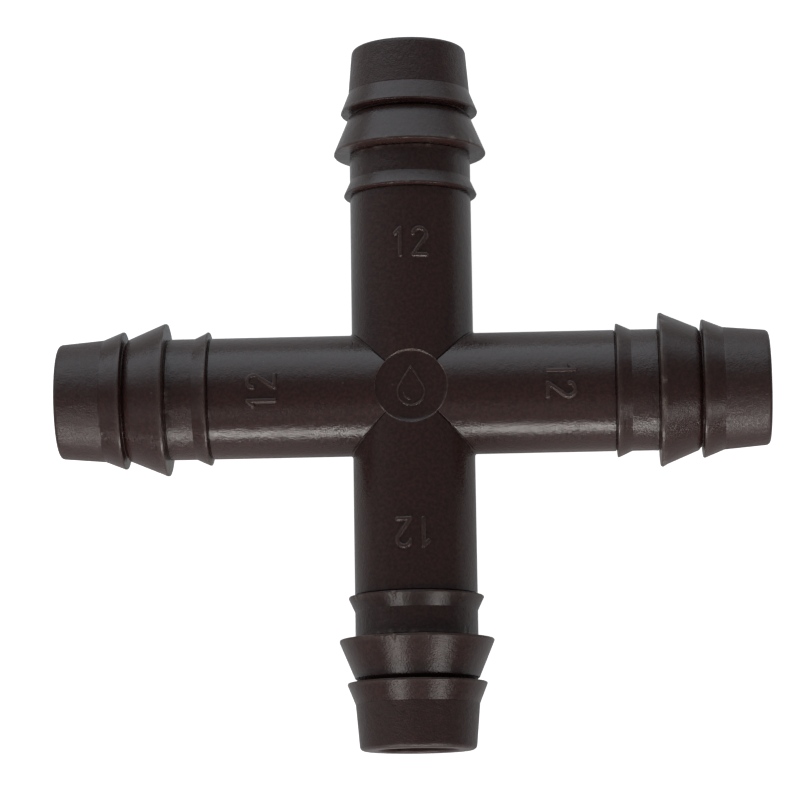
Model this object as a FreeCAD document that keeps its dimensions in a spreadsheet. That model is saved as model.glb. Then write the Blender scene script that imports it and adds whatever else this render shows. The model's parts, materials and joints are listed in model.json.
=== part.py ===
"""Barbed cross fitting for 12 mm drip pipe: one plastic moulding with four equal hose tails.

Frame: millimetres, +Z up, origin where the four water ways meet. The arms lie along X and Y.
The moulding is divided, without a gap or an overlap, into the hub where two tubes cross, four plain
arms, and four barbed tails that begin in the corner behind the inner barb. The raised size numerals
and the raised drop mark stand on its skin.
"""
import FreeCAD, Part
import math
import os

import Sketcher
from FreeCAD import Placement, Rotation, Vector

# ---------------------------------------------------------------- driving dimensions, in millimetres
# "reach" is a distance from the centre along an arm, "radius" a distance from the arm's own axis.
DIMENSIONS = {
    # hub, plain arms and water ways
    "arm_radius": 5.0,
    "bore_radius": 3.25,
    "hub_reach": 6.0,
    "arm_reach": 16.2,
    "crease_round": 0.15,
    # tapered tip with its rounded rims
    "tip_reach": 29.25,
    "tip_radius": 4.72,
    "tip_round": 0.4,
    "mouth_round": 0.25,
    # barb nearest the tip
    "tip_barb_foot_reach": 25.5,
    "tip_barb_foot_radius": 5.04,
    "tip_barb_reach": 23.9,
    "tip_barb_radius": 5.68,
    "tip_barb_land": 0.14,
    # sharp groove between the two outer barbs
    "groove_reach": 23.7,
    "groove_radius": 4.65,
    # main barb, the widest part of the fitting
    "main_barb_reach": 20.42,
    "main_barb_radius": 6.3,
    "main_barb_land": 0.17,
    "main_barb_foot_reach": 23.38,
    "main_barb_foot_radius": 5.06,
    "main_barb_back": 20.2,
    "neck_round": 0.1,
    # barb nearest the body
    "inner_barb_foot": 17.95,
    "inner_barb_reach": 16.86,
    "inner_barb_radius": 5.5,
    "inner_barb_land": 0.13,
    "inner_barb_back": 16.66,
    "root_round": 0.1,
    # flat round lands above and below the centre, and the trimmed gate on the lower one
    "roundel_radius": 2.95,
    "roundel_level": 4.7,
    "gate_radius": 0.55,
    "gate_rise": 0.18,
    # water drop drawn in raised lines on the upper land
    "drop_height": 3.2,
    "drop_bowl_radius": 1.1,
    "drop_glint_radius": 0.62,
    "drop_line": 0.2,
    "drop_rise": 0.1,
    # raised size numerals: where the middle of the pair is on each arm, out from the centre and aside
    "numeral_reach_right": 12.2,
    "numeral_reach_far": 11.9,
    "numeral_reach_left": 12.2,
    "numeral_reach_near": 12.0,
    "numeral_aside_right": -0.12,
    "numeral_aside_far": 0.16,
    "numeral_aside_left": -0.17,
    "numeral_aside_near": 0.0,
    "numeral_height": 2.65,
    "numeral_width": 1.5,
    "numeral_gap": 0.62,
    "numeral_flag": 0.4,
    "numeral_stroke": 0.44,
    "numeral_rise": 0.18,
}
SHEET = "Dimensions"
BOWL_FROM, BOWL_TO = 170.0, -36.0  # where the round top of the figure two starts and ends, in degrees
GLINT_TURNS = (190.0, 225.0, 260.0)  # start, middle and end of the drop's glint, in degrees
ARMS = {"right": 0.0, "far": 90.0, "left": 180.0, "near": 270.0}  # turn about +Z, in degrees
UP = Vector(0, 0, 1)


def make_sheet(doc):
    """The spreadsheet that every sketch and feature reads."""
    sheet = doc.addObject("Spreadsheet::Sheet", SHEET)
    for row, (alias, value) in enumerate(DIMENSIONS.items(), start=1):
        sheet.set(f"A{row}", alias)
        sheet.set(f"B{row}", str(value))
        sheet.setAlias(f"B{row}", alias)
    doc.recompute()
    return sheet


# ---------------------------------------------------------------- small helpers for bodies
def origin_plane(body, role):
    """One of the body's own origin planes, such as XY_Plane."""
    return next(item for item in body.Origin.OriginFeatures if item.Role == role)


def add_sketch(body, name, role, offset=None):
    """A sketch on an origin plane of its body, lifted off it by a spreadsheet expression if given."""
    sketch = body.newObject("Sketcher::SketchObject", name)
    sketch.AttachmentSupport = [(origin_plane(body, role), "")]
    sketch.MapMode = "FlatFace"
    if offset:
        sketch.setExpression("AttachmentOffset.Base.z", offset)
    return sketch


def constrain(sketch, expression, *constraint):
    """Adds a dimension to the sketch and binds it to the spreadsheet."""
    index = sketch.addConstraint(Sketcher.Constraint(*constraint))
    sketch.setExpression(f"Constraints[{index}]", expression)


def cell(doc, alias):
    """A dimension's number, for the pieces whose shape is set in code."""
    return float(doc.getObject(SHEET).get(alias))


def circle_sketch(body, name, role, radius, offset=None):
    """A circle about the plane's own origin."""
    sketch = add_sketch(body, name, role, offset)
    add_circle(sketch, 0, radius)
    return sketch


def add_circle(sketch, index, radius):
    """Adds a circle about the sketch's origin as its curve of that index."""
    sketch.addGeometry(Part.Circle(Vector(0, 0, 0), UP, 1.0 + index), False)
    sketch.addConstraint(Sketcher.Constraint("Coincident", index, 3, -1, 1))
    constrain(sketch, radius, "Radius", index, 1.0 + index)


def profile_sketch(body, name, role, corners):
    """A closed outline whose corners are (along, across) pairs of spreadsheet expressions."""
    doc = body.Document
    sketch = add_sketch(body, name, role)
    places = [Vector(value_of(doc, along), value_of(doc, across), 0) for along, across in corners]
    for start, end in zip(places, places[1:] + places[:1]):
        sketch.addGeometry(Part.LineSegment(start, end), False)
    last = len(corners) - 1
    for index, (along, across) in enumerate(corners):
        before = last if index == 0 else index - 1
        sketch.addConstraint(Sketcher.Constraint("Coincident", before, 2, index, 1))
        constrain(sketch, along, "DistanceX", -1, 1, index, 1, places[index].x)
        constrain(sketch, across, "DistanceY", -1, 1, index, 1, places[index].y)
    return sketch


def value_of(doc, expression):
    """What a spreadsheet expression comes to, so that an outline is drawn where its dimensions put it."""
    return float(doc.getObject(SHEET).evalExpression(expression))


def dim(alias):
    """A dimension as a spreadsheet expression."""
    return f"{SHEET}.{alias}"


def edges_where(shape, test):
    """Names of the edges whose midpoint passes the test."""
    found = []
    for number, edge in enumerate(shape.Edges, start=1):
        if not edge.isNull() and edge.Length > 1e-6:
            middle = edge.valueAt((edge.FirstParameter + edge.LastParameter) / 2)
            if test(middle, edge):
                found.append(f"Edge{number}")
    return found


def add_fillet(body, name, base, names, radius):
    """Rounds the named edges of a body's feature."""
    fillet = body.newObject("PartDesign::Fillet", name)
    fillet.Base = (base, names)
    fillet.setExpression("Radius", radius)
    return fillet


# ---------------------------------------------------------------- the hub and the plain arms
def add_pad(body, name, sketch, length, two_way=True):
    """A Pad from its sketch, equally to both sides of it or to one side only."""
    pad = body.newObject("PartDesign::Pad", name)
    pad.Profile = sketch
    pad.setExpression("Length", length)
    pad.Midplane = two_way
    return pad


def make_hub(doc):
    """Two short cylinders that cross, a flat round land above and below, and the water ways."""
    body = doc.addObject("PartDesign::Body", "centre_hub")
    body.Label = "centre_hub"
    for name, plane in (("tube_x", "YZ_Plane"), ("tube_y", "XZ_Plane")):
        disc = circle_sketch(body, f"{name}_circle", plane, dim("arm_radius"))
        add_pad(body, name, disc, f"2 * {dim('hub_reach')}")
    disc = circle_sketch(body, "roundel_circle", "XY_Plane", dim("roundel_radius"))
    add_pad(body, "roundel_pads", disc, f"2 * {dim('roundel_level')}")
    for name, sign in (("top_roundel", ""), ("bottom_roundel", "-")):
        level = sign + dim("roundel_level")
        disc = circle_sketch(body, f"{name}_circle", "XY_Plane", dim("roundel_radius"), level)
        recess = body.newObject("PartDesign::Pocket", name)
        recess.Profile = disc
        recess.Reversed = not sign
        recess.setExpression("Length", dim("arm_radius"))
        must_shrink(doc, recess)
    add_crease_round(doc, body)
    disc = circle_sketch(body, "gate_circle", "XY_Plane", dim("gate_radius"), f"-{dim('roundel_level')}")
    gate = add_pad(body, "gate_vestige", disc, dim("gate_rise"), two_way=False)
    gate.Reversed = True
    for name, plane in (("way_x", "YZ_Plane"), ("way_y", "XZ_Plane")):
        disc = circle_sketch(body, f"{name}_circle", plane, dim("bore_radius"))
        way = body.newObject("PartDesign::Pocket", name)
        way.Profile = disc
        way.Type = "ThroughAll"
        way.Midplane = True
        must_shrink(doc, way)
    return body


def must_shrink(doc, cut):
    """Stops if a cut removes nothing, which it does without an error when it points the wrong way."""
    doc.recompute()
    if cut.Shape.Volume >= cut.BaseFeature.Shape.Volume - 1e-6:
        raise RuntimeError(f"{cut.Name} removes nothing")


def add_crease_round(doc, body):
    """Rounds the inner corners, where two arms meet in the diagonal planes."""
    base = body.Tip
    roundel = cell(doc, "roundel_radius")

    def in_crease(middle, edge):
        on_diagonal = abs(abs(middle.x) - abs(middle.y)) < 1e-3
        return on_diagonal and math.hypot(middle.x, middle.y) > 1.05 * roundel

    names = edges_where(base.Shape, in_crease)
    add_fillet(body, "crease_round", base, names, dim("crease_round"))
    doc.recompute()


def make_arm(doc, side, turn):
    """One plain arm: a tube from the hub to the barbed tail."""
    body = doc.addObject("PartDesign::Body", f"plain_arm_{side}")
    body.Label = f"plain_arm_{side}"
    ring = circle_sketch(body, f"ring_{side}", "YZ_Plane", dim("arm_radius"), dim("hub_reach"))
    add_circle(ring, 1, dim("bore_radius"))
    length = f"{dim('arm_reach')} - {dim('hub_reach')}"
    add_pad(body, f"tube_{side}", ring, length, two_way=False)
    body.Placement = Placement(Vector(0, 0, 0), Rotation(UP, turn))
    return body


# ---------------------------------------------------------------- the barbed tails
def tail_corners():
    """Half section of a tail, from the bore outwards round the tip and back over the three barbs."""
    return [
        (dim("arm_reach"), dim("bore_radius")),
        (dim("tip_reach"), dim("bore_radius")),
        (dim("tip_reach"), dim("tip_radius")),
        (dim("tip_barb_foot_reach"), dim("tip_barb_foot_radius")),
        (dim("tip_barb_reach"), dim("tip_barb_radius")),
        (f"{dim('tip_barb_reach')} - {dim('tip_barb_land')}", dim("tip_barb_radius")),
        (dim("groove_reach"), dim("groove_radius")),
        (dim("main_barb_foot_reach"), dim("main_barb_foot_radius")),
        (dim("main_barb_reach"), dim("main_barb_radius")),
        (f"{dim('main_barb_reach')} - {dim('main_barb_land')}", dim("main_barb_radius")),
        (dim("main_barb_back"), dim("arm_radius")),
        (dim("inner_barb_foot"), dim("arm_radius")),
        (dim("inner_barb_reach"), dim("inner_barb_radius")),
        (f"{dim('inner_barb_reach')} - {dim('inner_barb_land')}", dim("inner_barb_radius")),
        (dim("inner_barb_back"), dim("arm_radius")),
        (dim("arm_reach"), dim("arm_radius")),
    ]


def make_tail(doc, side, turn):
    """One hose tail: a turned section, rounded at its tip and mouth and behind its barbs."""
    body = doc.addObject("PartDesign::Body", f"barbed_tail_{side}")
    body.Label = f"barbed_tail_{side}"
    section = profile_sketch(body, f"section_{side}", "XY_Plane", tail_corners())
    turned = body.newObject("PartDesign::Revolution", f"turned_{side}")
    turned.Profile = section
    turned.ReferenceAxis = (section, ["H_Axis"])
    turned.Angle = 360.0
    doc.recompute()
    for name, reach, radius, size in (
        ("tip_round", "tip_reach", "tip_radius", "tip_round"),
        ("mouth_round", "tip_reach", "bore_radius", "mouth_round"),
        ("neck_round", "main_barb_back", "arm_radius", "neck_round"),
        ("root_round", "inner_barb_back", "arm_radius", "root_round"),
    ):
        base = body.Tip
        names = circles_at(doc, base.Shape, reach, radius)
        add_fillet(body, f"{name}_{side}", base, names, dim(size))
        doc.recompute()
    body.Placement = Placement(Vector(0, 0, 0), Rotation(UP, turn))
    return body


def circles_at(doc, shape, reach, radius):
    """Names of the turned edges at one corner of the tail's half section."""
    along, across = cell(doc, reach), cell(doc, radius)

    def here(middle, edge):
        is_round = hasattr(edge.Curve, "Radius") and edge.Length > across
        return is_round and abs(middle.x - along) < 1e-4 and abs(edge.Curve.Radius - across) < 1e-4

    return edges_where(shape, here)


# ---------------------------------------------------------------- raised marks
def raised_line(path, width, foot, top):
    """A line of even width with round ends, from one level up to another. A closed path makes a ring."""
    face = Part.Face(path.makeOffset2D(width / 2))
    if path.isClosed():
        face = face.cut(Part.Face(path.makeOffset2D(-width / 2)))
    line = face.extrude(UP * (top - foot))
    line.translate(UP * foot)
    return line


def around(centre, radius, degrees):
    """The point of a flat circle at an angle from +X."""
    turn = math.radians(degrees)
    return centre + Vector(math.cos(turn), math.sin(turn), 0) * radius


def numeral_paths(height, width, gap, flag):
    """Centre lines of the figures one and two, upright, with the pair centred on the origin."""
    foot, head = -height / 2, height / 2
    left = -(flag + gap + width) / 2
    stem = left + flag
    one = [
        Part.LineSegment(Vector(left, head - flag, 0), Vector(stem, head, 0)),
        Part.LineSegment(Vector(stem, head, 0), Vector(stem, foot, 0)),
    ]
    bowl = width / 2
    corner = Vector(stem + gap, foot, 0)
    centre = Vector(corner.x + bowl, head - bowl, 0)
    bowl_end = around(centre, bowl, BOWL_TO)
    two = [
        Part.Arc(around(centre, bowl, BOWL_FROM), around(centre, bowl, 90), bowl_end),
        Part.LineSegment(bowl_end, corner),
        Part.LineSegment(corner, corner + Vector(width, 0, 0)),
    ]
    return [Part.Wire([curve.toShape() for curve in figure]) for figure in (one, two)]


def make_numerals(doc):
    """The raised size numerals, one pair on each arm, their heads towards the tip."""
    arm, rise = cell(doc, "arm_radius"), cell(doc, "numeral_rise")
    stroke, height, width = (cell(doc, "numeral_" + name) for name in ("stroke", "height", "width"))
    paths = numeral_paths(
        height - stroke, width - stroke, cell(doc, "numeral_gap") + stroke, cell(doc, "numeral_flag")
    )
    solids = []
    for side, turn in ARMS.items():
        middle = Vector(cell(doc, "numeral_aside_" + side), cell(doc, "numeral_reach_" + side), 0)
        start, along = Vector(0, middle.y - height, 0), Vector(0, 1, 0)
        skin = Part.makeCylinder(arm + rise, 2 * height, start, along)
        shell = skin.cut(Part.makeCylinder(arm, 2 * height, start, along))
        for path in paths:
            placed = path.copy()
            placed.translate(middle)
            figure = raised_line(placed, stroke, 0.0, arm + rise).common(shell)
            figure.rotate(Vector(0, 0, 0), UP, turn - 90.0)
            solids += figure.Solids
    numerals = doc.addObject("Part::Feature", "size_numerals")
    numerals.Label = "size_numerals"
    numerals.Shape = Part.makeCompound(solids)
    return numerals


def make_drop_mark(doc):
    """A water drop with a glint in its bowl, drawn in raised lines on the upper land."""
    height, bowl = cell(doc, "drop_height"), cell(doc, "drop_bowl_radius")
    centre = Vector(0, bowl - height / 2, 0)
    side = math.degrees(math.asin(bowl / (height - bowl)))  # where a straight side leaves the bowl
    point = Vector(0, height / 2, 0)
    right, left = around(centre, bowl, side), around(centre, bowl, 180 - side)
    drop = [
        Part.LineSegment(point, right),
        Part.Arc(right, around(centre, bowl, -90), left),
        Part.LineSegment(left, point),
    ]
    glint = [Part.Arc(*(around(centre, cell(doc, "drop_glint_radius"), turn) for turn in GLINT_TURNS))]
    foot = cell(doc, "roundel_level")
    top = foot + cell(doc, "drop_rise")
    lines = []
    for curves in (drop, glint):
        path = Part.Wire([curve.toShape() for curve in curves])
        lines.append(raised_line(path, cell(doc, "drop_line"), foot, top))
    mark = doc.addObject("Part::Feature", "drop_mark")
    mark.Label = "drop_mark"
    mark.Shape = Part.makeCompound(lines)
    return mark


def main():
    doc = FreeCAD.newDocument("barbed_cross")
    make_sheet(doc)
    pieces = [make_hub(doc)]
    pieces += [make_arm(doc, side, turn) for side, turn in ARMS.items()]
    pieces += [make_tail(doc, side, turn) for side, turn in ARMS.items()]
    pieces += [make_numerals(doc), make_drop_mark(doc)]
    doc.recompute()
    write_steps(doc, pieces)


def write_steps(doc, pieces):
    """Checks every object, then writes one STEP file for each piece."""
    for item in doc.Objects:
        if {"Invalid", "Error"} & set(item.State):
            raise RuntimeError(f"{item.Name} failed: {item.State}")
    for piece in pieces:
        if piece.Shape.isNull() or not piece.Shape.isValid():
            raise RuntimeError(f"{piece.Label} has no valid shape")
    os.makedirs("parts", exist_ok=True)
    for piece in pieces:
        piece.Shape.exportStep(f"parts/{piece.Label}.step")
        solids = len(piece.Shape.Solids)
        print(f"{piece.Label}: {solids} solid(s), {piece.Shape.Volume:.2f} mm3")


main()
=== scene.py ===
"""Looks of the barbed cross fitting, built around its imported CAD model.

Shapes are worked out in millimetres, in the CAD frame, and turned into metres when a mesh is made.
An arm's own frame has x along the arm ("reach" from the centre), y to its left and z up. A "turn" is an
angle round the arm's axis from the parting line on its left, so a quarter turn is the arm's crest.
"""
import json
import math

import bmesh
import bpy
import numpy as np
from mathutils import Euler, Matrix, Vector


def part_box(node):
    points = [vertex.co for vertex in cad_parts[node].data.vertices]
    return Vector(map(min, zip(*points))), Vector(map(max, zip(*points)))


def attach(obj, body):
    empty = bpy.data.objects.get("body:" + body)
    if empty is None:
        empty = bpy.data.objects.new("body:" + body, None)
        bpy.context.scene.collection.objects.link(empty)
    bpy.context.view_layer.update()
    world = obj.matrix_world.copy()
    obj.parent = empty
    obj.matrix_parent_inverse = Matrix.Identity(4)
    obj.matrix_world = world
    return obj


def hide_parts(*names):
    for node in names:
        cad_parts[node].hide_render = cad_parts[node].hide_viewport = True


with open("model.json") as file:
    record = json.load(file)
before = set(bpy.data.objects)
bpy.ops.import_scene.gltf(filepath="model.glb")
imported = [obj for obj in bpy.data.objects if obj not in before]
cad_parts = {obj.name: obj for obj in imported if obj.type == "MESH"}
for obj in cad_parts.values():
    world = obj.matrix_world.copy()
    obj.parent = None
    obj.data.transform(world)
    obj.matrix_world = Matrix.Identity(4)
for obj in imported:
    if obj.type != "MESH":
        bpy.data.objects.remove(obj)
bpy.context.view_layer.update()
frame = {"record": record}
QUARTER = math.pi / 2
ARMS = {"right": 0, "far": 1, "left": 2, "near": 3}  # quarter turns about +Z
LOOKS = ("grain", "rough", "wear")  # what the material reads at each point of a mesh


def mm(metres):
    """A length of the frame in millimetres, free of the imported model's rounding."""
    return round(1000 * metres, 3)


# ---------------------------------------------------------------- sizes that the frame gives
TAIL_LOW, TAIL_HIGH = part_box("barbed_tail_right")
ARM_LOW, ARM_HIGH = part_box("plain_arm_right")
DROP_LOW, DROP_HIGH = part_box("drop_mark")
NUMERALS_LOW, NUMERALS_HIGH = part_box("size_numerals")
HUB_REACH, ARM_REACH, TIP_REACH = mm(ARM_LOW.x), mm(TAIL_LOW.x), mm(TAIL_HIGH.x)
ARM_RADIUS, MAIN_BARB_RADIUS = mm(ARM_HIGH.z), mm(TAIL_HIGH.z)
BORE_RADIUS = frame["record"]["mounts"][0]["dims"]["r_mm"]
LAND_LEVEL = mm(DROP_LOW.z)
DROP_RISE = mm(DROP_HIGH.z) - LAND_LEVEL
DROP_HEIGHT = mm(DROP_HIGH.y - DROP_LOW.y)
NUMERAL_RISE = mm(NUMERALS_HIGH.z) - ARM_RADIUS

# ---------------------------------------------------------------- sizes that the looks add
LIP_ROUND = 0.05
ROUNDEL_RADIUS = 2.95
RIM_WIDTH = 0.12
RIM_BEAD = 0.035
CREASE_ROUND_LOW = 0.26
CREASE_ROUND_HIGH = 0.16
CREASE_GROOVE = 0.12
GATE_RADIUS = 0.55
GATE_RISE = 0.18
GATE_STEP = 0.12  # how wide the sloped side of the gate trace is
SEAM_RISE = 0.02
SEAM_HALF_WIDTH = 0.05
SEAM_FROM_BORE = 0.5  # the parting line stops this far from the bore
TURNS_UP_TO_RIM, TURNS_OVER_RIM = 64, 41  # how finely a quarter is cut below and above the rim of the land

# Finishes that the mould left: how grainy the skin is, and its roughness.
PLAIN = (0.7, 0.15)
NECK = (1.1, 0.2)
TIP = (1.4, 0.34)
CONE = (0.6, 0.23)
WALL = (0.4, 0.28)
MARK = (0.4, 0.2)
BORE = (0.4, 0.3)

# Half section of a tail, from the plain arm round the tip into the bore. Each corner: distance beyond the
# plain arm, radius, the corner's round, how much torn flash it has, and the finish from there on.
TAIL_LENGTH = TIP_REACH - ARM_REACH
ROOT_GROOVE = 0.13
ROOT_RADIUS = ARM_RADIUS - ROOT_GROOVE  # bottom of the fine groove at the root of a barb
TAIL_SECTION = (
    (0.0, ARM_RADIUS, 0.0, 0.0, PLAIN),
    (0.36, ARM_RADIUS, 0.03, 0.0, WALL),
    (0.45, ROOT_RADIUS, 0.02, 0.0, WALL),
    (0.53, 5.5, LIP_ROUND, 0.0, WALL),
    (0.66, 5.5, LIP_ROUND, 0.6, CONE),
    (1.75, ARM_RADIUS, 0.15, 0.0, NECK),
    (3.87, ARM_RADIUS, 0.03, 0.5, WALL),
    (3.98, ROOT_RADIUS, 0.02, 0.0, WALL),
    (4.05, MAIN_BARB_RADIUS, LIP_ROUND, 0.8, WALL),
    (4.22, MAIN_BARB_RADIUS, LIP_ROUND, 1.0, CONE),
    (7.18, 5.06, 0.03, 0.0, WALL),
    (7.5, 4.65, 0.03, 0.0, WALL),
    (7.56, 5.68, LIP_ROUND, 0.0, WALL),
    (7.7, 5.68, LIP_ROUND, 0.6, CONE),
    (9.3, 5.04, 0.3, 0.0, TIP),
    (TAIL_LENGTH, 4.72, 0.4, 0.0, TIP),
    (TAIL_LENGTH, BORE_RADIUS, 0.25, 0.0, BORE),
    (0.0, BORE_RADIUS, 0.0, 0.0, BORE),
)

# Damage round an edge, as bumps: how many, their width in radians, average height and greatest height
RAGGED = (7, 0.22, 0.8, 1.0)  # the stretches of a lip that are torn, as a share of its tornness
FLASH = (110, 0.03, 0.018, 0.07)
NICKS = (9, 0.025, 0.02, 0.08)
LAND_BURRS = (14, 0.06, 0.25, 0.7)
TORN_WIDTH = 0.09  # how far the damage spreads from a lip's corner
LIP_WEAR, FLASH_WEAR, NICK_WEAR = 0.09, 12.0, 4.0  # of any lip, and for each millimetre of flash and nick
RIM_WEAR = 0.22
FIGURE_WEAR = 0.08

NUMERAL_HEIGHT = 2.65
NUMERAL_WIDTH = 1.5
NUMERAL_GAP = 0.62
NUMERAL_FLAG = 0.4
NUMERAL_STROKE = 0.44
NUMERAL_SLOPE = 0.14
NUMERAL_BOWL = (170.0, -36.0)
NUMERAL_ASIDE = {"right": -0.12, "far": 0.16, "left": -0.17, "near": 0.0}  # right of the arm's middle line
DROP_BOWL_RADIUS = 1.1
GLINT_RADIUS = 0.62
GLINT_ARC = (190.0, 260.0)
DROP_LINE = 0.2
DROP_SLOPE = 0.07

# ---------------------------------------------------------------- colours of the plastic and its patterns
RESIN_LIGHT, RESIN_DARK = (0.046, 0.0193, 0.0169, 1.0), (0.027, 0.0127, 0.0111, 1.0)
SCUFFED = (0.30, 0.245, 0.20, 1.0)
MOTTLE_SIZE = 0.26
TEAR_SIZE = 0.11
EROSION_SIZE = 0.13
WAVE_SIZE, WAVE_SHARE = 0.6, 0.9
CHIP_SHARE = 0.5
GLOSS_PATCH_SIZE, GLOSS_RANGE = 0.8, 0.03
SCUFF_ROUGHNESS = 0.25
DUST_SPACING, DUST_SHARE, DUST_PALENESS = 0.5, 0.006, 0.12
DUST_CORE, DUST_EDGE = 0.12, 0.22  # where a speck starts to fade and ends, as shares of the spacing
RELIEF_DEPTH = 32e-6  # in metres

# ---------------------------------------------------------------- stage sizes, in metres
FLOOR_HALF = 2.0
FLOOR_GLOW = 0.9
STAGE_WHITE = 0.85
LIGHT_DISTANCE = 1.2
DAYLIGHT = (0.87, 0.955, 1.03, 1.0)
ROOM_RADIANCE = 0.13
WALL_RADIANCE = 1.65
WALL_WAY = (-0.24, 0.970, 0.0)
WALL_EDGE = 0.3  # where the wall has faded out, as the cosine of the angle from its middle
# The table's glow is painted light: the bright wall's light falling on the table behind the object, weaker
# in front.
TABLE_GLOW_FRONT = 0.05
TABLE_GLOW_BEHIND = 0.19
TABLE_GLOW_HALF = 0.012  # how far in front of the origin and behind it the glow changes
# Painted shade: the table's white is darkened to either side of the object, so that the arms reflect less
# light there.
TABLE_SHADED_WHITE = 0.35
TABLE_SHADE_FROM, TABLE_SHADE_TO = 0.015, 0.05  # how far to either side the table starts and ends dimming
TABLE_GAP = 0.00001  # how far the table is below the floor that the camera sees
CAMERA_LENS = 154.6
CAMERA_SENSOR = 36.0
CAMERA_LEAN = (9.28, 2.522, -0.83)
CAMERA_PLACE = (-0.001095, -0.000424, 0.28335)  # in the camera's own directions
# Soft panels: name, azimuth, elevation, half width and half height in degrees, radiance, colour
LIGHTS = (
    ("front_strip", -92.0, 8.0, 34.0, 2.7, 18.0, (1.0, 0.975, 0.945)),
    ("front_left", -126.0, 40.0, 7.5, 13.0, 3.5, (1.0, 0.97, 0.94)),
    ("front_right", -51.0, 29.0, 11.0, 10.0, 3.4, (1.0, 0.97, 0.94)),
    ("front_glow", -97.0, 36.0, 38.0, 26.0, 0.2, (1.0, 0.96, 0.94)),
    ("left_low", -164.0, 15.0, 12.0, 17.0, 0.5, (1.0, 0.95, 0.95)),
)


# ---------------------------------------------------------------- mesh helpers
def crowded(start, end, count, bias):
    """Values that lie closer together near the start. The first step is about "bias" of an even one."""
    even = np.linspace(0.0, 1.0, count)
    return start + (end - start) * (bias * even + (1.0 - bias) * even**2)


def eased(share):
    """A smooth step from 0 to 1."""
    share = np.clip(share, 0.0, 1.0)
    return share * share * (3.0 - 2.0 * share)


def rim_turn():
    """The turn at which an arm's crease round meets the outer edge of the roundel."""
    outer = ROUNDEL_RADIUS + RIM_WIDTH / 2
    return math.acos(outer / math.hypot(ARM_RADIUS + CREASE_ROUND_HIGH, ARM_RADIUS))


def crease_round(turns):
    """The radius of the round between two arms: fullest at the parting plane, smaller from halfway up."""
    return CREASE_ROUND_LOW + (CREASE_ROUND_HIGH - CREASE_ROUND_LOW) * eased(2.0 * np.abs(np.sin(turns)))


def turns_round():
    """The turns at which every round surface is cut, close together at the two parting lines."""
    low = crowded(0.0, rim_turn(), TURNS_UP_TO_RIM, 0.25)
    high = np.linspace(rim_turn(), QUARTER, TURNS_OVER_RIM)
    quarter = np.concatenate([low, high[1:]])
    half = np.concatenate([quarter, math.pi - quarter[-2::-1]])
    return np.concatenate([half, 2 * math.pi - half[-2:0:-1]])


TURNS = turns_round()


def seam(height):
    """How far the parting line stands out of the skin at a height above the parting plane."""
    return SEAM_RISE * np.exp(-((height / SEAM_HALF_WIDTH) ** 2))


def quads(rows, columns, closed):
    """Corner numbers of a grid's faces. A closed grid joins its last column to its first."""
    across = columns if closed else columns - 1
    row, column = np.meshgrid(np.arange(rows - 1), np.arange(across), indexing="ij")
    following = (column + 1) % columns
    corners = (row * columns + column, row * columns + following)
    below = ((row + 1) * columns + following, (row + 1) * columns + column)
    return np.stack([*corners, *below], axis=-1).reshape(-1, 4)


def turned(points, quarters):
    """Points turned about +Z by a number of quarter turns."""
    x, y, z = points[..., 0], points[..., 1], points[..., 2]
    for _ in range(quarters % 4):
        x, y = -y, x
    return np.stack([x, y, z], axis=-1)


def patch(points, closed=True, finish=PLAIN, wear=0.0):
    """A grid of points with how grainy, rough and worn the skin is at each point."""
    looks = [np.broadcast_to(look, points.shape[:2]).ravel() for look in (*finish, wear)]
    return points, closed, looks


def add_corners(shape, places, looks):
    """Adds corners to an edited shape, and how grainy, rough and worn each of them is."""
    layers = [shape.verts.layers.float.get(name) or shape.verts.layers.float.new(name) for name in LOOKS]
    corners = []
    for place, *values in zip(places, *looks):
        corner = shape.verts.new(place)
        for layer, value in zip(layers, values):
            corner[layer] = value
        corners.append(corner)
    return corners


def welded_mesh(name, patches, quarters=0, sharp_degrees=45.0):
    """One closed mesh from patches whose edges meet, turned about +Z."""
    shape = bmesh.new()
    for points, closed, looks in patches:
        corners = add_corners(shape, turned(points, quarters).reshape(-1, 3) / 1000.0, looks)
        for face in quads(*points.shape[:2], closed):
            shape.faces.new([corners[number] for number in face])
    bmesh.ops.remove_doubles(shape, verts=shape.verts, dist=2e-7)
    bmesh.ops.dissolve_degenerate(shape, edges=shape.edges, dist=1e-8)
    bmesh.ops.recalc_face_normals(shape, faces=shape.faces)
    return finished_mesh(name, shape, sharp_degrees)


def finished_mesh(name, shape, sharp_degrees):
    """Turns an edited shape into a mesh that is smooth but for its sharp edges."""
    mesh = bpy.data.meshes.new(name)
    shape.to_mesh(mesh)
    shape.free()
    mesh.shade_smooth()
    mesh.set_sharp_from_angle(angle=math.radians(sharp_degrees))
    return mesh


def add_piece(name, mesh, material, *nodes):
    """Puts a mesh in the scene in place of the CAD nodes that it stands for."""
    piece = bpy.data.objects.new(name, mesh)
    bpy.context.scene.collection.objects.link(piece)
    mesh.materials.append(material)
    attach(piece, "root")
    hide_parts(*nodes)


# ---------------------------------------------------------------- round surfaces
def tube_grid(reach, radius):
    """A surface turned about the arm's axis: rows follow the section, columns go round."""
    radius = np.broadcast_to(radius, (len(reach), len(TURNS)))
    height = radius * np.sin(TURNS)
    skin = radius + seam(height) * (radius > BORE_RADIUS + SEAM_FROM_BORE)
    along = np.broadcast_to(np.asarray(reach)[:, None], skin.shape)
    return np.stack([along, skin * np.cos(TURNS), skin * np.sin(TURNS)], axis=-1)


def ring_cap(reach):
    """The flat ring across a tube's wall at a reach."""
    return tube_grid([reach, reach], np.array([[ARM_RADIUS], [BORE_RADIUS]]))


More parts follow.
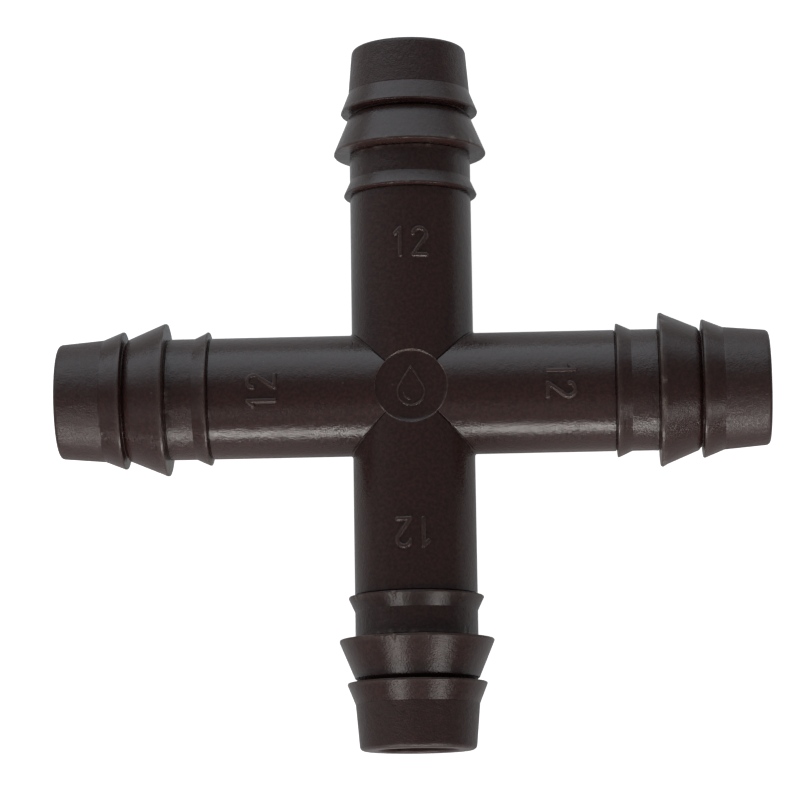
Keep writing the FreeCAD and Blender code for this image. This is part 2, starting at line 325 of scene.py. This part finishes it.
def rounded_corner(before, corner, after, rounding, steps):
    """Points of the arc that rounds a corner of a section, from its first side to its second."""
    back = (before - corner) / np.linalg.norm(before - corner)
    on = (after - corner) / np.linalg.norm(after - corner)
    half = math.acos(back @ on) / 2
    centre = corner + (back + on) / np.linalg.norm(back + on) * rounding / math.sin(half)
    start = corner + back * rounding / math.tan(half) - centre
    end = corner + on * rounding / math.tan(half) - centre
    sweep = math.pi - 2 * half
    share = np.linspace(0.0, 1.0, steps + 1)[:, None]
    return centre + (start * np.sin((1 - share) * sweep) + end * np.sin(share * sweep)) / math.sin(sweep)


def tail_section(arc_steps=6, longest=0.4):
    """The tail's section as rows of reach, radius, grain and roughness, with its corners rounded."""
    corners = np.array([corner[:2] for corner in TAIL_SECTION])
    finishes = [corner[-1] for corner in TAIL_SECTION]
    rows = [[*corners[0], *finishes[0]]]
    for index in range(1, len(corners) - 1):
        arc = rounded_corner(*corners[index - 1:index + 2], TAIL_SECTION[index][2], arc_steps)
        looks = np.linspace(finishes[index - 1], finishes[index], len(arc))
        rows += np.column_stack([arc, looks]).tolist()
    rows.append([*corners[-1], *finishes[-1]])
    rows = np.array(rows)
    fine = [rows[:1]]
    for start, end in zip(rows, rows[1:]):
        count = max(1, math.ceil(math.dist(start[:2], end[:2]) / longest))
        fine.append(start + (end - start) * np.linspace(0.0, 1.0, count + 1)[1:, None])
    fine = np.concatenate(fine)
    fine[:, 0] += ARM_REACH
    return fine


def bumps_round(random, turns, count, width, height, highest):
    """Rounded bumps at random turns, about so wide in radians and so high on average, up to a highest."""
    total = np.zeros_like(turns)
    for _ in range(count):
        away = (turns - random.uniform(0.0, 2 * math.pi) + math.pi) % (2 * math.pi) - math.pi
        total += random.exponential(height) * np.exp(-((away / (width * random.uniform(0.5, 1.8))) ** 2))
    return np.minimum(total, highest)


def make_tail(side, quarters, material):
    """A barbed tail: its turned section, its torn lips, and the flat ring where it meets the plain arm."""
    random = np.random.default_rng(10 + quarters)
    section = tail_section()
    reach, radius = section[:, 0], section[:, 1:2].repeat(len(TURNS), axis=1)
    wear = np.zeros_like(radius)
    for torn_reach, torn_radius, _, torn, _ in TAIL_SECTION:
        if torn:
            away = np.hypot(reach - ARM_REACH - torn_reach, section[:, 1] - torn_radius)[:, None]
            near = np.exp(-((away / TORN_WIDTH) ** 2))
            ragged = torn * bumps_round(random, TURNS, *RAGGED)
            flash = ragged * bumps_round(random, TURNS, *FLASH)
            nicks = bumps_round(random, TURNS, *NICKS)
            radius += near * (flash - nicks)
            wear = np.maximum(wear, near**2 * (LIP_WEAR + FLASH_WEAR * flash + NICK_WEAR * nicks))
    patches = [
        patch(tube_grid(reach, radius), finish=section[:, 2:].T[..., None], wear=np.minimum(wear, 1.0)),
        patch(ring_cap(ARM_REACH)),
    ]
    mesh = welded_mesh(f"tail_{side}", patches, quarters)
    add_piece(f"tail_{side}", mesh, material, f"barbed_tail_{side}")


def make_arm(side, quarters, material):
    """A plain arm: a tube between two flat rings."""
    reach = np.linspace(HUB_REACH, ARM_REACH, 25)
    patches = [
        patch(tube_grid(reach, ARM_RADIUS)),
        patch(tube_grid(reach, BORE_RADIUS), finish=BORE),
        patch(ring_cap(HUB_REACH)),
        patch(ring_cap(ARM_REACH)),
    ]
    mesh = welded_mesh(f"arm_{side}", patches, quarters)
    add_piece(f"arm_{side}", mesh, material, f"plain_arm_{side}")


# ---------------------------------------------------------------- the hub
def hub_stub():
    """One arm's part of the hub: its skin from the hub's end to the crease round or the roundel."""
    side, up = np.cos(TURNS), np.sin(TURNS)
    outer = ROUNDEL_RADIUS + RIM_WIDTH / 2
    rim = np.sqrt(np.maximum(outer**2 - (ARM_RADIUS * side) ** 2, 0.0))
    inner = np.maximum((ARM_RADIUS + crease_round(TURNS)) * np.abs(side), rim)
    share = 1.0 - crowded(0.0, 1.0, 24, 0.3)[::-1, None]
    reach = HUB_REACH + (inner - HUB_REACH) * share
    skin = np.broadcast_to(ARM_RADIUS + seam(ARM_RADIUS * up), reach.shape)
    return np.stack([reach, skin * side, skin * up], axis=-1)


def crease_strip(turns, steps=6):
    """The inner corner between an arm and the next: a ball rolled along both skins, and a fine groove."""
    side, up = np.cos(turns)[None, :], np.sin(turns)[None, :]
    rounding = crease_round(turns)[None, :]
    far = ARM_RADIUS + rounding
    centre = np.stack(np.broadcast_arrays(far * side, far * side, far * up), axis=-1)
    first = np.stack(np.broadcast_arrays(0 * side, -side, -up), axis=-1)
    last = np.stack(np.broadcast_arrays(-side, 0 * side, -up), axis=-1)
    sweep = np.arccos(up**2)[..., None]
    share = np.linspace(0.0, 1.0, 2 * steps + 1)[:, None, None]
    way = (first * np.sin((1 - share) * sweep) + last * np.sin(share * sweep)) / np.sin(sweep)
    depth = CREASE_GROOVE * eased(2.0 * np.abs(up))[..., None] * np.sin(math.pi * share) ** 2
    points = centre + (rounding[..., None] + depth) * way
    return points - way * seam(points[..., 2:])


def roundel_ring(facing):
    """The roundel's outer edge, all the way round, above (facing 1) or below (facing -1) the centre."""
    edge = rim_turn()
    outer = ROUNDEL_RADIUS + RIM_WIDTH / 2
    crest = TURNS[(TURNS > edge - 1e-9) & (TURNS < math.pi - edge + 1e-9)][::-1]
    y = ARM_RADIUS * np.cos(crest)
    stub = np.stack([np.sqrt(outer**2 - y**2), y, ARM_RADIUS * np.sin(crest)], axis=-1)
    corner = crease_strip(np.array([edge]))[1:-1, 0]
    quarter = np.concatenate([stub, corner]) * (1, 1, facing)
    return np.concatenate([turned(quarter, quarters) for quarters in range(4)])


def roundel_disc(facing, gate_rise):
    """The land, the beaded step up to it from the skin, and its gate if it has one."""
    ring = roundel_ring(facing)
    flat = ring[:, :2] / np.hypot(ring[:, 0], ring[:, 1])[:, None]
    floor = facing * LAND_LEVEL
    rows = [ring]
    for step in np.linspace(1.0, 0.0, 11)[1:]:
        bead = facing * RIM_BEAD * math.sin(math.pi * step) ** 2
        height = floor + (ring[:, 2] - floor) * eased(step) + bead
        rows.append(np.column_stack([flat * (ROUNDEL_RADIUS + RIM_WIDTH * (step - 0.5)), height]))
    gate_edge = GATE_RADIUS + np.linspace(GATE_STEP / 2, -GATE_STEP / 2, 7)
    land = np.linspace(ROUNDEL_RADIUS - RIM_WIDTH / 2, gate_edge[0], 9)[1:]
    for radius in [*land, *gate_edge[1:], 0.3, 0.12, 0.03]:
        height = floor + facing * gate_rise * eased((gate_edge[0] - radius) / GATE_STEP)
        rows.append(np.column_stack([flat * radius, np.full(len(flat), height)]))
    rows.append(rows[-1] * (0, 0, 1))
    random = np.random.default_rng(20 + facing)
    burrs = bumps_round(random, np.arctan2(flat[:, 1], flat[:, 0]), *LAND_BURRS)
    on_bead = np.abs(np.arange(len(rows)) - 5) < 4
    return patch(np.stack(rows), finish=MARK, wear=(RIM_WEAR + burrs) * on_bead[:, None])


def bore_stub():
    """One arm's part of the crossing bores: from the hub's end to where it meets its neighbours."""
    share = np.linspace(0.0, 1.0, 7)[:, None]
    side, up = BORE_RADIUS * np.cos(TURNS), BORE_RADIUS * np.sin(TURNS)
    reach = HUB_REACH + (np.abs(side) - HUB_REACH) * share
    return np.stack([reach, np.broadcast_to(side, reach.shape), np.broadcast_to(up, reach.shape)], axis=-1)


def make_hub(material):
    """The hub: four stubs, four rounded creases, a roundel above and below, and the crossing bores."""
    low = TURNS[TURNS < rim_turn() + 1e-9]
    crease = crease_strip(np.concatenate([-low[:0:-1], low]))
    patches = [roundel_disc(1, 0.0), roundel_disc(-1, GATE_RISE)]
    for quarters in range(4):
        patches += [
            patch(turned(hub_stub(), quarters)),
            patch(turned(crease, quarters), closed=False),
            patch(turned(bore_stub(), quarters), finish=BORE),
            patch(turned(ring_cap(HUB_REACH), quarters)),
        ]
    add_piece("hub", welded_mesh("hub", patches), material, "centre_hub")


# ---------------------------------------------------------------- raised figures
def arc(centre, radius, start, end, step=6.0):
    """Points of a flat arc from one angle to another, in degrees."""
    count = math.ceil(abs(end - start) / step)
    angles = np.radians(np.linspace(start, end, count + 1))
    return np.column_stack([centre[0] + radius * np.cos(angles), centre[1] + radius * np.sin(angles)])


def distance_to(line, u, v):
    """How far each flat point is from a line of straight runs."""
    nearest = np.full(u.shape, np.inf)
    for start, end in zip(line, line[1:]):
        run = end - start
        share = np.clip(((u - start[0]) * run[0] + (v - start[1]) * run[1]) / (run @ run), 0.0, 1.0)
        away = np.hypot(u - start[0] - share * run[0], v - start[1] - share * run[1])
        nearest = np.minimum(nearest, away)
    return nearest


def raised_relief(line, stroke, rise, slope, place, step=0.02, sunk=0.06):
    """Points and faces of a closed relief that follows a line, with a flat top and rounded sides.

    Its sides run on below the surface that it stands on. place(u, v, height) puts a flat point there.
    """
    margin = stroke / 2 + sunk
    low, high = line.min(axis=0) - margin, line.max(axis=0) + margin
    u, v = np.meshgrid(np.arange(low[0], high[0], step), np.arange(low[1], high[1], step), indexing="ij")
    inward = (stroke / 2 - distance_to(line, u, v)) / slope
    height = rise * np.sin(np.clip(inward, -sunk / slope, 1.0) * QUARTER)
    grid = quads(*u.shape, closed=False)
    kept = grid[(inward.ravel()[grid] > -sunk / slope).all(axis=1)]
    used, kept = np.unique(kept, return_inverse=True)
    kept = kept.reshape(-1, 4)
    top = place(u.ravel()[used], v.ravel()[used], height.ravel()[used])
    foot = place(u.ravel()[used], v.ravel()[used], np.full(len(used), -2 * sunk))
    sides = {tuple(side) for corner in range(4) for side in kept[:, [corner, (corner + 1) % 4]].tolist()}
    walls = [(a, b, b + len(used), a + len(used)) for a, b in sorted(sides) if (b, a) not in sides]
    faces = [*kept[:, ::-1].tolist(), *(kept + len(used)).tolist(), *walls]
    return np.concatenate([top, foot]), faces


def relief_mesh(name, reliefs):
    """One mesh of several reliefs, all alike in their finish."""
    shape = bmesh.new()
    for points, faces in reliefs:
        looks = [np.full(len(points), look) for look in (*MARK, FIGURE_WEAR)]
        corners = add_corners(shape, points / 1000.0, looks)
        for face in faces:
            shape.faces.new([corners[number] for number in face])
    return finished_mesh(name, shape, 60.0)


def numeral_lines():
    """Centre lines of the figures one and two, upright, with the pair centred on the origin."""
    height, width = NUMERAL_HEIGHT - NUMERAL_STROKE, NUMERAL_WIDTH - NUMERAL_STROKE
    gap = NUMERAL_GAP + NUMERAL_STROKE
    foot, head = -height / 2, height / 2
    left = -(NUMERAL_FLAG + gap + width) / 2
    stem = left + NUMERAL_FLAG
    one = np.array([(left, head - NUMERAL_FLAG), (stem, head), (stem, foot)])
    bowl = width / 2
    start = stem + gap
    curve = arc((start + bowl, head - bowl), bowl, *NUMERAL_BOWL)
    two = np.concatenate([curve, [(start, foot), (start + width, foot)]])
    return one, two


def numeral_place(middle, aside):
    """The function that puts a flat point of a figure on the arm along +X."""

    def on_arm(right, up, height):
        across, radius = right + aside, ARM_RADIUS + height
        return np.column_stack([middle + up, -across, np.sqrt(radius**2 - across**2)])

    return on_arm


def make_numerals(material):
    """The raised size figures, one pair on each arm, their heads towards the tip."""
    heads = (NUMERALS_HIGH.x, NUMERALS_HIGH.y, -NUMERALS_LOW.x, -NUMERALS_LOW.y)
    reliefs = []
    for (side, quarters), head in zip(ARMS.items(), heads):
        place = numeral_place(mm(head) - NUMERAL_HEIGHT / 2, NUMERAL_ASIDE[side])
        for line in numeral_lines():
            points, faces = raised_relief(line, NUMERAL_STROKE, NUMERAL_RISE, NUMERAL_SLOPE, place)
            reliefs.append((turned(points, quarters), faces))
    add_piece("numerals", relief_mesh("numerals", reliefs), material, "size_numerals")


def make_drop(material):
    """A water drop with a glint in its bowl, drawn in raised lines on the upper land."""
    bowl = DROP_BOWL_RADIUS
    height = DROP_HEIGHT - DROP_LINE
    centre, point = (0.0, bowl - height / 2), (0.0, height / 2)
    side = math.degrees(math.asin(bowl / (height - bowl)))
    outline = np.concatenate([[point], arc(centre, bowl, side, -180.0 - side), [point]])
    glint = arc(centre, GLINT_RADIUS, *GLINT_ARC)

    def on_land(u, v, rise):
        return np.column_stack([u, v, LAND_LEVEL + rise])

    reliefs = [raised_relief(line, DROP_LINE, DROP_RISE, DROP_SLOPE, on_land) for line in (outline, glint)]
    add_piece("drop", relief_mesh("drop", reliefs), material, "drop_mark")


# ---------------------------------------------------------------- material
def add_node(tree, kind, values=(), links=(), **settings):
    """A shader node with its settings, some inputs' values, and links from other nodes' outputs."""
    made = tree.nodes.new(kind)
    for name, value in settings.items():
        setattr(made, name, value)
    for socket, value in dict(values).items():
        made.inputs[socket].default_value = value
    for socket, source in dict(links).items():
        tree.links.new(source, made.inputs[socket])
    return made


def spread(tree, source, low, high, start=0.0, end=1.0):
    """A value that goes from low to high as its source goes from start to end."""
    values = {"From Min": start, "From Max": end, "To Min": low, "To Max": high}
    return add_node(tree, "ShaderNodeMapRange", values, {"Value": source}).outputs[0]


def combined(tree, operation, first, second):
    """Two values joined by a sum, a product or the like. The second may be a plain number."""
    made = add_node(tree, "ShaderNodeMath", links={0: first}, operation=operation)
    if isinstance(second, float):
        made.inputs[1].default_value = second
    else:
        tree.links.new(second, made.inputs[1])
    return made.outputs[0]


def noise(tree, place, size_mm, detail):
    """Noise whose blotches are about a size across."""
    values = {"Scale": 1000.0 / size_mm, "Detail": detail}
    return add_node(tree, "ShaderNodeTexNoise", values, {"Vector": place}).outputs["Fac"]


def specks(tree, place, size_mm, share):
    """Scattered round specks, 0 to 1: one in each cell of a random pattern whose number is below a share."""
    cells = add_node(tree, "ShaderNodeTexVoronoi", {"Scale": 1000.0 / size_mm}, {"Vector": place})
    number = add_node(tree, "ShaderNodeSeparateColor", links={"Color": cells.outputs["Color"]}).outputs[0]
    chosen = combined(tree, "LESS_THAN", number, share)
    disc = spread(tree, cells.outputs["Distance"], 1.0, 0.0, DUST_CORE, DUST_EDGE)
    return combined(tree, "MULTIPLY", disc, chosen)


def moulded_plastic():
    """Dark brown polypropylene out of a spark-eroded mould: grainy on plain skin, smoother on the cones."""
    material = bpy.data.materials.new("moulded_brown_plastic")
    material.use_nodes = True
    tree = material.node_tree
    tree.nodes.clear()
    place = add_node(tree, "ShaderNodeTexCoord").outputs["Object"]
    grain, rough, wear = (
        add_node(tree, "ShaderNodeAttribute", attribute_name=look).outputs["Fac"] for look in LOOKS
    )

    dust = combined(tree, "MULTIPLY", specks(tree, place, DUST_SPACING, DUST_SHARE), DUST_PALENESS)
    torn = spread(tree, noise(tree, place, TEAR_SIZE, 3.0), 0.35, 1.0, 0.42, 0.6)
    chips = combined(tree, "MULTIPLY", wear, torn)
    scuffs = combined(tree, "MAXIMUM", dust, chips)

    hue = spread(tree, noise(tree, place, MOTTLE_SIZE, 4.0), 0.0, 1.0, 0.36, 0.64)
    resin = add_node(
        tree, "ShaderNodeMix", {6: RESIN_LIGHT, 7: RESIN_DARK}, {0: hue}, data_type="RGBA",
    ).outputs[2]
    colour = add_node(
        tree, "ShaderNodeMix", {7: SCUFFED}, {0: scuffs, 6: resin}, data_type="RGBA",
    ).outputs[2]

    waves = combined(tree, "MULTIPLY", noise(tree, place, WAVE_SIZE, 1.0), WAVE_SHARE)
    erosion = combined(tree, "ADD", noise(tree, place, EROSION_SIZE, 2.5), waves)
    skin = combined(tree, "MULTIPLY", erosion, grain)
    relief = combined(tree, "ADD", skin, combined(tree, "MULTIPLY", chips, CHIP_SHARE))
    bump = add_node(tree, "ShaderNodeBump", {"Strength": 1.0, "Distance": RELIEF_DEPTH}, {"Height": relief})

    gloss = spread(tree, noise(tree, place, GLOSS_PATCH_SIZE, 2.0), -GLOSS_RANGE, GLOSS_RANGE, 0.3, 0.7)
    patches = combined(tree, "ADD", rough, gloss)
    roughness = combined(tree, "ADD", patches, combined(tree, "MULTIPLY", scuffs, SCUFF_ROUGHNESS))
    shader = add_node(
        tree, "ShaderNodeBsdfPrincipled", {"IOR": 1.5},
        {"Base Color": colour, "Roughness": roughness, "Normal": bump.outputs["Normal"]},
    )
    add_node(tree, "ShaderNodeOutputMaterial", links={"Surface": shader.outputs[0]})
    return material


# ---------------------------------------------------------------- stage
def add_stage(name, shape, glow):
    """A matt white stage object with an even glow of its own."""
    material = bpy.data.materials.new(name)
    material.use_nodes = True
    shader = material.node_tree.nodes["Principled BSDF"]
    shader.inputs["Base Color"].default_value = (STAGE_WHITE, STAGE_WHITE, STAGE_WHITE, 1.0)
    shader.inputs["Roughness"].default_value = 0.9
    shader.inputs["Specular IOR Level"].default_value = 0.0
    shader.inputs["Emission Color"].default_value = (1.0, 1.0, 1.0, 1.0)
    shader.inputs["Emission Strength"].default_value = glow
    mesh = bpy.data.meshes.new(name)
    shape.to_mesh(mesh)
    shape.free()
    mesh.materials.append(material)
    staged = bpy.data.objects.new(name, mesh)
    bpy.context.scene.collection.objects.link(staged)
    return staged


def make_stage():
    """A pale room as the camera sees it, and just under its floor the table top that lights the object, with
    painted light glowing on it behind the object and painted shade to its sides.
    """
    level = -MAIN_BARB_RADIUS / 1000.0
    room = bmesh.new()
    bmesh.ops.create_cube(room, size=2 * FLOOR_HALF)
    bmesh.ops.translate(room, verts=room.verts, vec=(0.0, 0.0, level + FLOOR_HALF))
    seen = add_stage("room", room, FLOOR_GLOW)
    seen.visible_diffuse = False
    seen.visible_glossy = False
    seen.visible_shadow = False
    top = bmesh.new()
    bmesh.ops.create_grid(top, x_segments=1, y_segments=1, size=FLOOR_HALF)
    bmesh.ops.translate(top, verts=top.verts, vec=(0.0, 0.0, level - TABLE_GAP))
    lighting = add_stage("table", top, TABLE_GLOW_FRONT)
    lighting.visible_camera = False
    tree = lighting.active_material.node_tree
    place = add_node(tree, "ShaderNodeNewGeometry").outputs["Position"]
    parts = add_node(tree, "ShaderNodeSeparateXYZ", links={0: place}).outputs
    # Painted light: the table glows more behind the object than in front of it.
    glow = spread(tree, parts["Y"], TABLE_GLOW_FRONT, TABLE_GLOW_BEHIND, -TABLE_GLOW_HALF, TABLE_GLOW_HALF)
    aside = add_node(tree, "ShaderNodeMath", links={0: parts["X"]}, operation="ABSOLUTE").outputs[0]
    # Painted shade: the table's white darkens to either side of the object.
    shaded_white = spread(tree, aside, STAGE_WHITE, TABLE_SHADED_WHITE, TABLE_SHADE_FROM, TABLE_SHADE_TO)
    tree.links.new(glow, tree.nodes["Principled BSDF"].inputs["Emission Strength"])
    tree.links.new(shaded_white, tree.nodes["Principled BSDF"].inputs["Base Color"])


def add_light(name, azimuth, elevation, half_width, half_height, radiance, colour):
    """A soft panel that faces the object: its place and half sizes in degrees, azimuth from +X to +Y."""
    wide = 2 * LIGHT_DISTANCE * math.tan(math.radians(half_width))
    high = 2 * LIGHT_DISTANCE * math.tan(math.radians(half_height))
    light = bpy.data.lights.new(name, "AREA")
    light.shape = "RECTANGLE"
    light.size, light.size_y = wide, high
    light.energy = radiance * math.pi * wide * high
    light.color = colour
    panel = bpy.data.objects.new(name, light)
    around, up = math.radians(azimuth), math.radians(elevation)
    way = Vector((math.cos(around) * math.cos(up), math.sin(around) * math.cos(up), math.sin(up)))
    panel.location = way * LIGHT_DISTANCE
    panel.rotation_euler = way.to_track_quat("Z", "Y").to_euler()
    panel.visible_camera = False
    bpy.context.scene.collection.objects.link(panel)


def make_world():
    """Soft daylight: a bright wall behind the far arm that fades to a dim room overhead and in front."""
    world = bpy.data.worlds.new("studio")
    world.use_nodes = True
    tree = world.node_tree
    way = add_node(tree, "ShaderNodeTexCoord").outputs["Generated"]
    wall = add_node(tree, "ShaderNodeVectorMath", {1: WALL_WAY}, {0: way}, operation="DOT_PRODUCT")
    values = {"From Min": WALL_EDGE, "From Max": 1.0, "To Min": ROOM_RADIANCE, "To Max": WALL_RADIANCE}
    strength = add_node(
        tree, "ShaderNodeMapRange", values, {"Value": wall.outputs["Value"]},
        interpolation_type="SMOOTHSTEP",
    )
    background = tree.nodes["Background"]
    background.inputs["Color"].default_value = DAYLIGHT
    tree.links.new(strength.outputs[0], background.inputs["Strength"])
    bpy.context.scene.world = world


def make_camera():
    """A long lens nearly overhead, leaning a little towards the near arm."""
    data = bpy.data.cameras.new("camera")
    data.sensor_width = CAMERA_SENSOR
    data.lens = CAMERA_LENS
    data.clip_start = 0.01
    camera = bpy.data.objects.new("camera", data)
    lean = Euler([math.radians(angle) for angle in CAMERA_LEAN])
    camera.rotation_euler = lean
    camera.location = lean.to_matrix() @ Vector(CAMERA_PLACE)
    bpy.context.scene.collection.objects.link(camera)
    bpy.context.scene.camera = camera


plastic = moulded_plastic()
make_hub(plastic)
for side, quarters in ARMS.items():
    make_arm(side, quarters, plastic)
    make_tail(side, quarters, plastic)
make_numerals(plastic)
make_drop(plastic)
make_stage()
make_world()
for panel in LIGHTS:
    add_light(*panel)
make_camera()
bpy.context.scene.view_settings.view_transform = "Standard"

bpy.context.view_layer.update()
